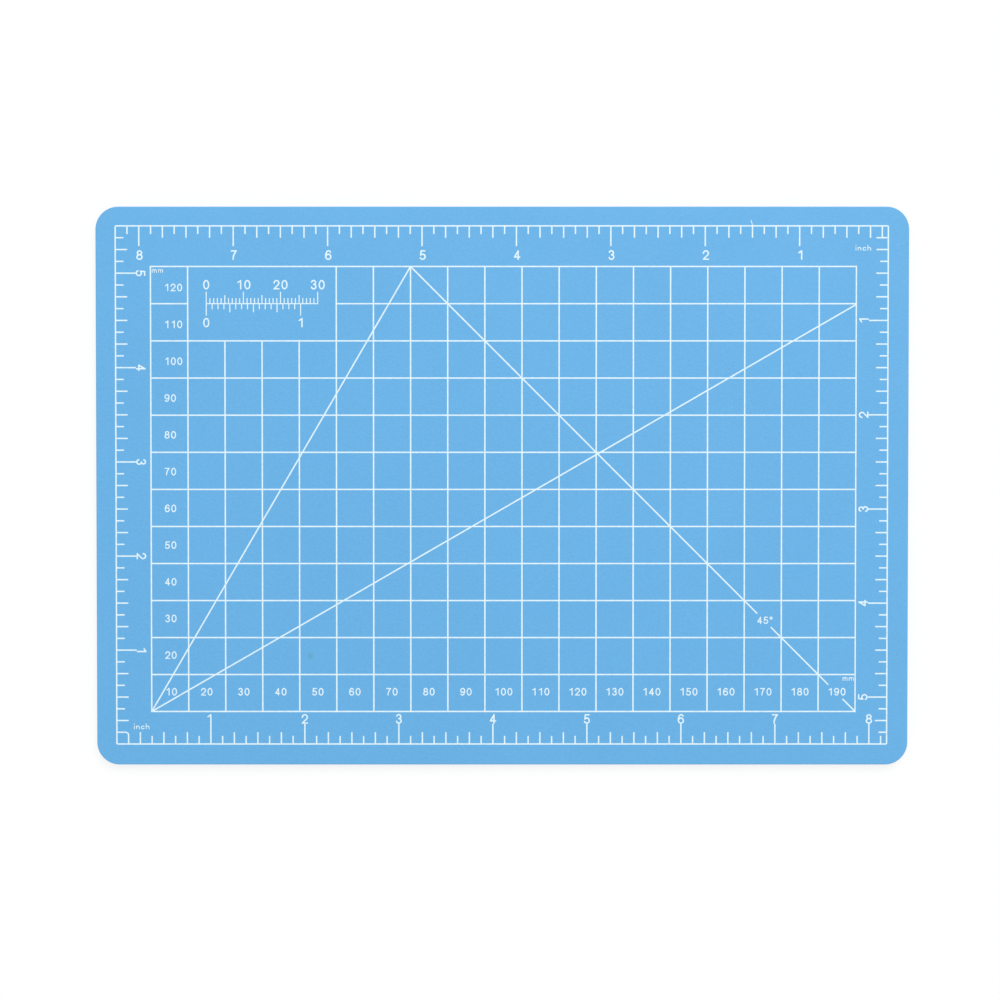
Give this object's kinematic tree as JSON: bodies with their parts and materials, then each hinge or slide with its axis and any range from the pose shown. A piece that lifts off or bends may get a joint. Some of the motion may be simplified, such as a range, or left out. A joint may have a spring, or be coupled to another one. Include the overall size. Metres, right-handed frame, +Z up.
{
  "type": "self healing cutting mat",
  "caption": "Flat laminated cutting mat with a printed millimetre grid, inch rulers and angle lines, laid on a bench under leather while it is cut.",
  "frame": {"origin": "middle of the underside, where the mat rests on the bench", "axes": "+X along the length, towards the high end of the lower inch scale; +Y across the width, towards the upper inch scale; +Z up through the printed face"},
  "size_m": [0.219, 0.1504, 0.003],
  "materials": {
    "blue_skin": "fine matte PVC",
    "healing_layer": "soft PVC, die cut edge",
    "core_sheet": "stiff PVC, die cut edge",
    "white_ink": "screen printed ink"
  },
  "bodies": {
    "root": {"bottom_skin": "blue_skin", "lower_healing_layer": "healing_layer", "rigid_core": "core_sheet", "upper_healing_layer": "healing_layer", "top_skin": "blue_skin", "ruler_frame": "white_ink", "corner_loop": "white_ink", "bottom_inch_ticks": "white_ink", "top_inch_ticks": "white_ink", "left_inch_ticks": "white_ink", "right_inch_ticks": "white_ink", "bottom_inch_numerals": "white_ink", "top_inch_numerals": "white_ink", "left_inch_numerals": "white_ink", "right_inch_numerals": "white_ink", "inch_marks": "white_ink", "centimetre_grid": "white_ink", "steep_angle_line": "white_ink", "shallow_angle_line": "white_ink", "diagonal_angle_line": "white_ink", "diagonal_angle_label": "white_ink", "millimetre_row_numerals": "white_ink", "millimetre_column_numerals": "white_ink", "millimetre_marks": "white_ink", "panel_rule": "white_ink", "panel_rule_numerals": "white_ink"}
  },
  "joints": []
}
